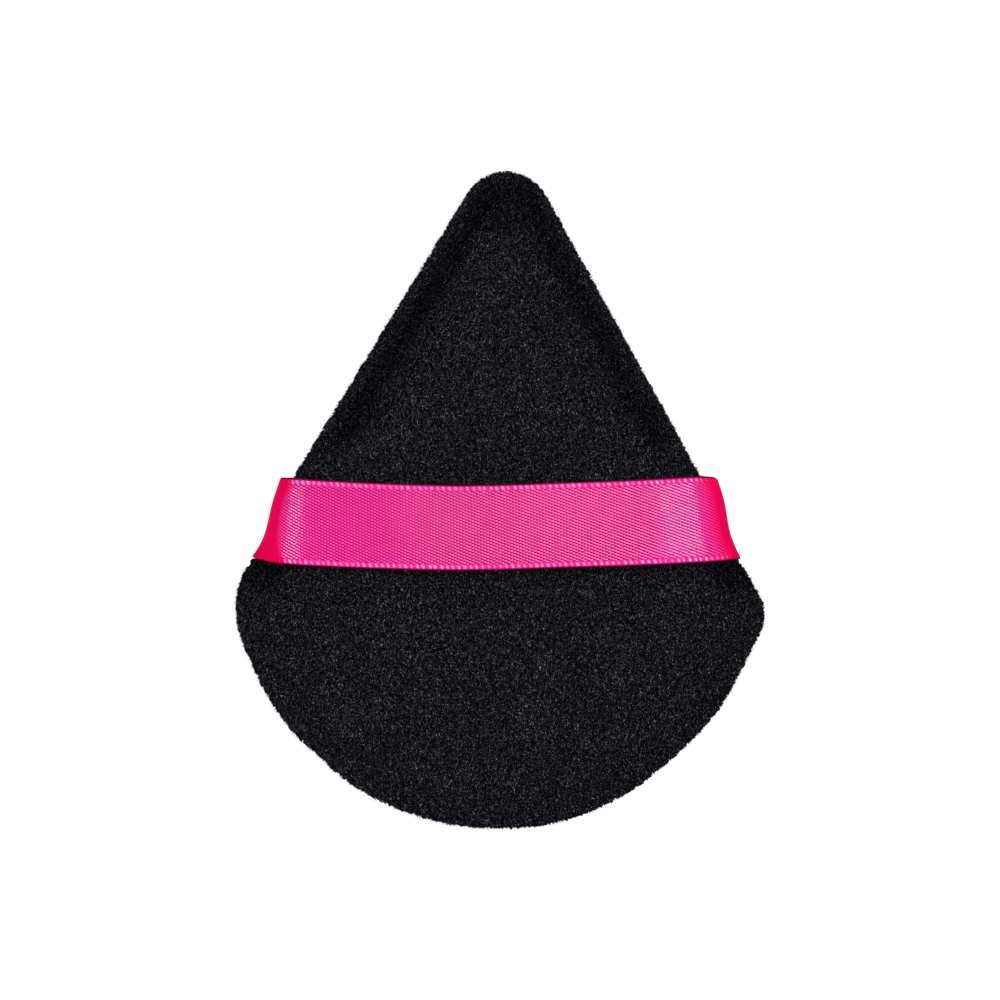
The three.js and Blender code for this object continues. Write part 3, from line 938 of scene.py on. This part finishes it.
def thread_finish():
    material, add = new_finish("black_thread")
    place = add("ShaderNodeTexCoord").outputs["Object"]
    twist = {"Vector": place, "Scale": 900.0, "Distortion": 0.6, "Detail": 1.0}
    strands = add("ShaderNodeTexWave", twist, wave_type="BANDS", bands_direction="DIAGONAL")
    lint = noise(add, place, scale=6000.0, detail=2.0)
    raised = add("ShaderNodeMix", {"Factor": 0.3, "A": strands.outputs["Fac"], "B": lint}).outputs[0]
    bump = add("ShaderNodeBump", {"Height": raised, "Distance": 0.00004, "Strength": 0.8})
    fibre = add("ShaderNodeBsdfPrincipled", {
        "Base Color": blended(add, raised, thread_shade, thread_light),
        "Roughness": 0.55, "Specular IOR Level": 0.3, "Normal": bump.outputs[0],
    })
    return closed_finish(material, add, fibre)


sewing_thread = thread_finish()
threads = ("needle_thread", "bobbin_thread", "closing_thread", "left_tack_thread", "right_tack_thread")
for name in threads:
    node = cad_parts[name]
    node.data.materials.clear()
    node.data.materials.append(sewing_thread)
print(len(threads), "threads dressed")

# %% [markdown]
# ## Satin finish
# The strap is a satin ribbon. Each long thread floats over four cross threads and dips under the
# fifth, and the dips step along a slant. The floats lie smooth, so satin shines in broad bands where
# it bends. Every thread could be modelled, but the ribbon has some thirty thousand crossings. Three
# waves, at the spacing of the dips, give both the relief and the tone of that weave instead.
# A ribbon's threads slip a little out of step along its length, so one wave drifts. The gloss is a clear
# coat that lies on the tops of the floats alone. The gaps between them are painted darker, as the shade that
# falls in them, and painted paler where the ribbon turns to the light. The flanks that go down to the seam
# shine least, and are painted a deeper red, as they face away from the light.

# %% The weave's spacing
pick_pitch = 0.000358
dip_pitch = 0.0003675
dip_step_share = 0.4
pick_lean = 0.018
slant_share = 0.5
brick_share = 0.32
column_share = 0.2
bent_shares = (0.46, 0.2, 0.06)
column_start = math.radians(-74)
column_drift = 8.0


def weave_wave(picks, dips, share, start=0.0, drift=0.0):
    """One wave of the weave, as turns per metre along and across, with its share and its start."""
    along = picks / pick_pitch
    return along - drift, dips / dip_pitch + pick_lean * along, share, start


weave_waves = [
    weave_wave(dip_step_share, 1, slant_share),
    weave_wave(dip_step_share - 1, 1, brick_share),
    weave_wave(1, 0, column_share, column_start, column_drift),
]


def satin_relief(along, across):
    """How high the threads stand at a place on the ribbon, about -1 to 1."""
    total = sum(share * np.cos(2 * math.pi * (x * along + y * across) + start)
                for x, y, share, start in weave_waves)
    return total / sum(wave[2] for wave in weave_waves)


print("about", round(strap_width / dip_pitch), "dips across each of the cross threads")

# %% The satin's dyes, painted light and shade, and gloss
# Painted shade: the gaps of the weave and of the beads are darker than the tops of the threads.
shaded_gap = (0.39, 0.0001, 0.075, 1)
# Painted light: gap colours towards the right band of light and past it.
lit_gap = (0.45, 0.016, 0.17, 1)
painted_light_end_gap = (0.61, 0.0003, 0.132, 1)
float_top = (0.98, 0.048, 0.4, 1)
shaded_bead_gap = (0.96, 0.018, 0.255, 1)
bead_top = (0.98, 0.18, 0.57, 1)
# Painted deeper red where the ribbon faces away from the light past the fold.
painted_flank_gap = (0.86, 0.0001, 0.064, 1)
painted_flank_top = (0.98, 0.001, 0.13, 1)
shine = 0.84
shine_from = 0.58
crown_range = (-0.38, 0.42)
uneven_strands = 0.4
shaded_level = 0.11
dye_levels = (0.94, 1.06)
thread_sway = 0.00012
strand_stretch = (0.12, 1.0, 0.12)


def weave_height(add, along, across, bend):
    """The height of the weave's threads, whose waves change their shares where the ribbon bends."""
    total = 0.0
    for (x, y, share, start), bent_share in zip(weave_waves, bent_shares):
        strength = mapped(add, bend, 0.0, 1.0, share, bent_share)
        along_turn = maths(add, "MULTIPLY_ADD", along, 2 * math.pi * x, start)
        turn = maths(add, "MULTIPLY_ADD", across, 2 * math.pi * y, along_turn)
        total = maths(add, "MULTIPLY_ADD", maths(add, "COSINE", turn), strength, total)
    return total


def satin_colour(add, crown, edging, flank_share):
    """The dye from the gaps to the tops of the threads, on the face, on the beads and on the flanks, with
    painted shade in the gaps, painted light towards the lamps and a painted deeper red on the flanks.
    """
    painted_light = spot_value(add, "ribbon_painted_light")
    past_painted_light = maths(add, "SUBTRACT", painted_light, 1.0, use_clamp=True)
    gap = blended(add, past_painted_light, blended(add, painted_light, shaded_gap, lit_gap), painted_light_end_gap)
    face = blended(add, crown, gap, float_top)
    bead = blended(add, crown, shaded_bead_gap, bead_top)
    flank = blended(add, crown, painted_flank_gap, painted_flank_top)
    return blended(add, flank_share, blended(add, edging, face, bead), flank)

# %% Satin finish
def satin_finish():
    material, add = new_finish("pink_satin")
    place = add("ShaderNodeTexCoord").outputs["Object"]
    sway = noise(add, place, scale=700.0, detail=1.0)
    along = maths(add, "MULTIPLY_ADD", sway, thread_sway, spot_value(add, "ribbon_along"))
    weave = weave_height(add, along, spot_value(add, "ribbon_across"), spot_value(add, "ribbon_bend"))
    edging = spot_value(add, "selvedge")
    relief = add("ShaderNodeMix", {"Factor": edging, "A": weave, "B": spot_value(add, "selvedge_beads")})
    combed = add("ShaderNodeMapping", {"Vector": place, "Scale": strand_stretch}).outputs[0]
    strands = noise(add, combed, scale=9000.0, detail=2.0)
    uneven = maths(add, "MULTIPLY_ADD", strands, uneven_strands, -uneven_strands / 2)
    crown = mapped(add, maths(add, "ADD", relief.outputs[0], uneven), *crown_range, 0.0, 1.0)
    flank_share = spot_value(add, "ribbon_turn")
    colour = satin_colour(add, crown, edging, flank_share)
    patches = mapped(add, noise(add, place, scale=90.0, detail=2.0), *noise_range, *dye_levels)
    lit = mapped(add, spot_value(add, "ribbon_shade"), 0.0, 1.0, 1.0, shaded_level)
    float_shine = mapped(add, crown, shine_from, 1.0, 0.0, shine)
    shining = maths(add, "MULTIPLY", float_shine, maths(add, "SUBTRACT", 1.0, flank_share))
    bump = add("ShaderNodeBump", {"Height": strands, "Distance": 0.00001, "Strength": 0.15})
    cloth = add("ShaderNodeBsdfPrincipled", {
        "Base Color": tinted(add, colour, maths(add, "MULTIPLY", patches, lit)),
        "Roughness": 0.8, "Specular IOR Level": 0.01, "Normal": bump.outputs[0],
        "Coat Weight": shining, "Coat Roughness": 0.16,
    })
    return closed_finish(material, add, cloth)


satin = satin_finish()

# %% [markdown]
# ## The ribbon strap
# The ribbon rises out of one side seam, arches over the face with room for a finger, and goes into
# the other seam. Its lower edge is held tighter to the rim than its upper edge, which stands off.
# Because the seam lies further out than the upper edge's bend, the ribbon bends over at a straight
# fold line, and spreads below it as a skirt. It is modelled directly, as a row of ways over the puff,
# because a cloth simulation would lose the woven relief and the beaded edges. Both ends were sewn by
# hand and differ a little, so many sizes are kept apart for the left end (-1) and the right end (1).

# %% The ribbon's ends
finger_gap = 0.0048
strap_bend = 0.0009
strap_tail = 0.0029
strap_top = crown_depth + finger_gap + strap_half
lower_slack = {-1: 0.00025, 1: 0.0002}
upper_slack = {-1: 0.00145, 1: 0.0017}
slack_power = {-1: 1.4, 1: 0.8}
lower_lift = {-1: 0.0005, 1: 0.0001}
upper_lift = {-1: 0.0, 1: -0.0002}
print("strap's crest at", round(strap_top * 1000, 2), "mm over the seam")

# %% The ends of one way of the ribbon
fold_out = {-1: 0.0005, 1: 0.0}
fold_follow_share = {-1: 0.0, 1: 0.8}
corner_round = {-1: 0.00035, 1: 0.0005}
searched_below = 0.002
searched_top = 0.03


def reach_at(inset, height, side):
    """How far out the plan lies at a height up the page, on one side."""
    loop = loop_at(inset)
    near_strap = (loop[:, 1] > strap_low - searched_below) & (loop[:, 1] < searched_top)
    beside = loop[(loop[:, 0] * side > 0) & near_strap]
    order = np.argsort(beside[:, 1])
    return abs(np.interp(height, beside[order, 1], beside[order, 0]))


def end_of_way(width_share, side):
    """Where one of the ribbon's ways ends: its height up the page, lift, reach and fold line."""
    height = strap_low + width_share * strap_width
    more_slack = (upper_slack[side] - lower_slack[side]) * width_share ** slack_power[side]
    lift = lower_lift[side] * (1 - width_share) ** 2 + upper_lift[side] * width_share**2
    reach = reach_at(0, height + lift, side) + (lower_slack[side] + more_slack)
    from_corner = strap_width * (1 - width_share if side > 0 else width_share)
    rounding = max(0, 1 - from_corner / corner_round[side])
    reach -= corner_round[side] * (1 - math.sqrt(1 - rounding**2))
    top_reach = reach_at(0, strap_high + upper_lift[side], side) + upper_slack[side]
    fold = top_reach + fold_out[side] + fold_follow_share[side] * (reach - top_reach)
    return height, lift, reach, min(fold, reach)


for name, width_share in (("lower", 0), ("upper", 1)):
    left, right = (round(float(end_of_way(width_share, side)[2]) * 1000, 2) for side in (-1, 1))
    print(name, "edge reaches", left, "mm to the left and", right, "mm to the right")

# %% The ribbon's arch
way_count = 400
way_spread_power = 0.75
fullness = {-1: 4.5, 1: 4.1}


def arch_over(height, reach, fold, side):
    """The arch from the ribbon's crest down to its bend at the seam, and the ways up from it."""
    angle = math.pi / 2 * (1 - np.linspace(0, 1, way_count) ** way_spread_power)
    up = np.clip(np.sin(angle), 0, 1) ** (2 / fullness[side])
    out = fold * np.clip(np.cos(angle), 0, 1) ** (2 / fullness[side])
    out += (reach - fold) * smoothstep(1 - up, 0, 1)
    up_page = height - strap_sag * (1 - (out / reach) ** 2)
    arch = np.stack([out, up_page, strap_bend + (strap_top - strap_bend) * up], axis=1)
    steps = np.gradient(arch, axis=0)
    arch_up = np.stack([-steps[:, 2], 0 * out, steps[:, 0]], axis=1)
    arch_up /= np.linalg.norm(arch_up, axis=1, keepdims=True)
    arch_up[-1] = (1, 0, 0)
    return arch, arch_up

# %% One way over the puff
bend_count = 40
lifted_from_share = 0.88
lifted_span_share = 0.12
lifted_power = 1.5
strap_slant = 0.0003
slant_run = (-0.006, 0.01)


def half_way(width_share, side):
    """Half of the ribbon's way, from its crest to its end in the seam: places and ways up."""
    height, lift, reach, fold = end_of_way(width_share, side)
    arch, arch_up = arch_over(height, reach, fold, side)
    turn = np.linspace(0, math.pi / 2, bend_count)[1:]
    bend_up = np.stack([np.cos(turn), 0 * turn, -np.sin(turn)], axis=1)
    bend = np.array([reach - strap_bend, height, strap_bend]) + strap_bend * bend_up
    tail = np.array([[reach_at(seam_dip + strap_tail, height, side), height, 0]])
    places = np.concatenate([arch, bend, tail])
    lifted = np.clip((places[:, 0] / reach - lifted_from_share) / lifted_span_share, 0, 1)
    places[:, 1] += lift * lifted**lifted_power
    places[:, 1] += strap_slant * smoothstep(side * places[:, 0], *slant_run)
    ups = np.concatenate([arch_up, bend_up, bend_up[-1:]])
    ups /= np.linalg.norm(ups, axis=1, keepdims=True)
    return places * (side, 1, 1), ups * (side, 1, 1)


def ribbon_way(width_share):
    """A whole way over the puff: places, ways up, the run along it, and the run at its crest."""
    left, left_up = half_way(width_share, -1)
    right, right_up = half_way(width_share, 1)
    places = np.concatenate([left[::-1], right[1:]])
    ups = np.concatenate([left_up[::-1], right_up[1:]])
    run = np.concatenate([[0], np.cumsum(np.linalg.norm(np.diff(places, axis=0), axis=1))])
    return places, ups, run, run[len(left) - 1]


for name, width_share in (("lower", 0), ("upper", 1)):
    print(name, "edge", round(float(ribbon_way(width_share)[2][-1]) * 1000, 1), "mm long")

# %% [markdown]
# The ribbon's grid is fine enough to carry its weave, with five steps to a cross thread. Along both
# edges the cross threads turn back round a thicker thread and stand up as a row of small loops, like
# beads. No two loops are quite alike, so each has its own place and size. The back carries no weave, so
# it is a third as fine, and both counts of cells divide by three.

# %% The ribbon's grid
steps_per_pick = 5
steps_per_dip = 4
back_share = 3
ribbon_rows = back_share * round(steps_per_dip * strap_width / dip_pitch / back_share)
middle_length = float(ribbon_way(0.5)[2][-1])
column_block = 4 * back_share
ribbon_columns = column_block * round(steps_per_pick * middle_length / pick_pitch / column_block)
print("ribbon", round(middle_length * 1000, 1), "mm long,", ribbon_columns, "x", ribbon_rows, "cells")


def ribbon_grid(rows, columns):
    """Places and ways up on a grid, with how far each spot is along from the crest, and across."""
    places, ups, along = [], [], []
    for share in np.linspace(0, 1, rows + 1):
        way, way_up, run, crest = ribbon_way(share)
        at = np.linspace(0, run[-1], columns + 1)
        along.append(at - crest)
        places.append(np.stack([np.interp(at, run, way[:, k]) for k in range(3)], axis=1))
        ups.append(np.stack([np.interp(at, run, way_up[:, k]) for k in range(3)], axis=1))
    ups = np.array(ups)
    ups /= np.linalg.norm(ups, axis=2, keepdims=True)
    across = np.repeat(np.linspace(0, strap_width, rows + 1)[:, None], columns + 1, axis=1)
    return np.array(places), ups, np.array(along), across

# %% The ribbon's beaded edges
selvedge_width = 0.00064
selvedge_ease = (0.9 * selvedge_width, 1.1 * selvedge_width)
loop_pitch = 2 * pick_pitch
loop_slant = 0.35
loop_shift_share = 0.1
loop_least_share = 0.6
loop_ridge_share = 0.6
loop_round_share = 0.44
loop_power = 0.8
loop_seed = 31


def edge_loops(along, across):
    """The selvedge: how much a spot belongs to it, the swelling of its loops, and the way to the edge."""
    edge = np.minimum(across, strap_width - across)
    slant = loop_slant * (np.where(across < strap_width / 2, 1, -1) * edge)
    turns = (along - along.min() + slant) / loop_pitch
    rng = np.random.default_rng(loop_seed)
    count = int(turns.max()) + 3
    shift = rng.uniform(-loop_shift_share, loop_shift_share, (2, count))
    size = rng.uniform(loop_least_share, 1.0, (2, count))
    side = (across > strap_width / 2).astype(int)
    number = np.round(turns).astype(int) + 1
    beads = (0.5 + 0.5 * np.cos(2 * math.pi * (turns - shift[side, number]))) * size[side, number]
    belongs = 1 - smoothstep(edge, *selvedge_ease)
    off_ridge = (edge - loop_ridge_share * selvedge_width) / (loop_round_share * selvedge_width)
    return belongs, beads**loop_power * np.sqrt(np.clip(1 - off_ridge**2, 0, 1)), edge

# %% [markdown]
# The finish needs to know where the ribbon turns. Past the fold its threads face away from the light, and a
# deeper red is painted there. Towards the bands of light the gaps between the threads get painted light. Its
# very edge gets a painted shade, as does the left flank, and its back is dull and takes most of the flanks'
# painted red. The lamps alone would show some of this on real threads, but here the threads are only waves,
# so each spot carries these values itself.

# %% The ribbon's turns
fold_ease = 0.0005
left_fold_width = 0.00155
left_fold_flare = 0.003
left_fold_power = 6
right_fold_run = (0.0008, 0.003)
bent_left = (0.0205, 0.025)
bent_right = (0.005, 0.0235)
painted_light_run = (0.017, 0.022)
past_painted_light_run = (0.0236, 0.0246)
edge_shade_run = (0.00005, 0.00024)
left_shade = 0.22
dull_back = 0.7


def folded_down(places, across):
    """How far a spot has turned down into the fold at the left end and at the right end, 0 to 1."""
    from_left = places[..., 0] - places[..., 0].min(axis=1, keepdims=True)
    from_right = places[..., 0].max(axis=1, keepdims=True) - places[..., 0]
    left_fold = left_fold_width + left_fold_flare * (1 - across / strap_width) ** left_fold_power
    left = 1 - smoothstep(from_left, left_fold - fold_ease, left_fold + fold_ease)
    return left, 1 - smoothstep(from_right, *right_fold_run)


def ribbon_looks(places, along, across, belongs, beads, edge):
    """The values that the satin finish reads at each spot of the ribbon's upper side."""
    left_turn, right_turn = folded_down(places, across)
    bend = smoothstep(-places[..., 0], *bent_left) + smoothstep(places[..., 0], *bent_right)
    # Painted light in the gaps towards the right band of light.
    painted_light = smoothstep(places[..., 0], *painted_light_run) + smoothstep(places[..., 0], *past_painted_light_run)
    # Painted shade along the very edge, and on the left flank, which faces the lamp less.
    shade = 1 - smoothstep(edge, *edge_shade_run) * (1 - left_shade * left_turn)
    return {"ribbon_along": along, "ribbon_across": across, "ribbon_turn": left_turn + right_turn,
            "ribbon_bend": bend, "ribbon_painted_light": painted_light, "ribbon_shade": shade,
            "selvedge": belongs, "selvedge_beads": 2 * beads - 1}

# %% [markdown]
# A solidify modifier could thicken the ribbon, but it would press the weave through to the back. So
# the upper side and the plain under side are laid one above the other and joined at all four edges.

# %% The ribbon's faces
def grid_faces(numbers):
    """The four-sided faces between the spots of a grid, from their numbers."""
    a, b = numbers[:-1, :-1].ravel(), numbers[:-1, 1:].ravel()
    c, d = numbers[1:, 1:].ravel(), numbers[1:, :-1].ravel()
    return np.stack([a, b, c, d], axis=1).tolist()


def edge_faces(fine, coarse):
    """Joins a finely divided edge to one with a third of its spots."""
    faces = []
    for k in range(len(coarse) - 1):
        a, b, c, d = fine[back_share * k : back_share * (k + 1) + 1].tolist()
        start, end = int(coarse[k]), int(coarse[k + 1])
        faces += [[b, a, start], [c, b, start], [d, c, end], [end, c, start]]
    return faces


def ribbon_faces(upper, lower):
    """Both sides of the ribbon and the four edges between them, from the numbers of their spots."""
    faces = grid_faces(upper) + grid_faces(lower[::-1])
    for fine, coarse in ((upper[0], lower[0]), (upper[-1][::-1], lower[-1][::-1]),
                         (upper[:, 0][::-1], lower[:, 0][::-1]), (upper[:, -1], lower[:, -1])):
        faces += edge_faces(fine, coarse)
    return faces


def on_bake_sheet(side, low, high):
    """A side of the ribbon laid flat on the bake sheet, between two heights of it."""
    flat = np.meshgrid(np.linspace(0, 1, side.shape[1]), np.linspace(low, high, side.shape[0]))
    return np.column_stack([grid.ravel() for grid in flat])

# %% The sewn ribbon
thread_height = 0.000006
loop_height = 0.00006
loop_bulge = 0.00012
least_bulge_share = 0.4
top_bake_run = (0, 0.7)
under_bake_run = (0.75, 1)


def sewn_ribbon():
    places, ups, along, across = ribbon_grid(ribbon_rows, ribbon_columns)
    belongs, beads, edge = edge_loops(along, across)
    relief = satin_relief(along, across) * (1 - belongs) + (2 * beads - 1) * belongs
    lift = thread_height * relief * (1 - belongs) + loop_height * beads * belongs
    top = places + ups * (strap_half + lift)[..., None]
    outward = np.where(across < strap_width / 2, -1, 1) * loop_bulge * (edge < selvedge_width / 2)
    outward *= (least_bulge_share + (1 - least_bulge_share) * beads) * (1 - edge / (selvedge_width / 2))
    top[..., 1] += outward
    under, under_ups, _, _ = ribbon_grid(ribbon_rows // back_share, ribbon_columns // back_share)
    under = under - under_ups * strap_half
    count = top.shape[0] * top.shape[1]
    under_count = under.shape[0] * under.shape[1]
    upper = np.arange(count).reshape(top.shape[:2])
    lower = count + np.arange(under_count).reshape(under.shape[:2])
    looks = ribbon_looks(places, along, across, belongs, beads, edge)
    values = {key: np.concatenate([look.ravel(), np.zeros(under_count)]) for key, look in looks.items()}
    values["ribbon_turn"][count:] = dull_back
    sheet = np.concatenate([on_bake_sheet(top, *top_bake_run), on_bake_sheet(under, *under_bake_run)])
    bake = sheet * bake_reach + bake_margin
    everywhere = np.concatenate([top.reshape(-1, 3), under.reshape(-1, 3)])
    return make_piece("finger_strap", everywhere, ribbon_faces(upper, lower), satin, values, bake)


finger_strap = sewn_ribbon()
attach(finger_strap, "root")
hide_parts("finger_ribbon")
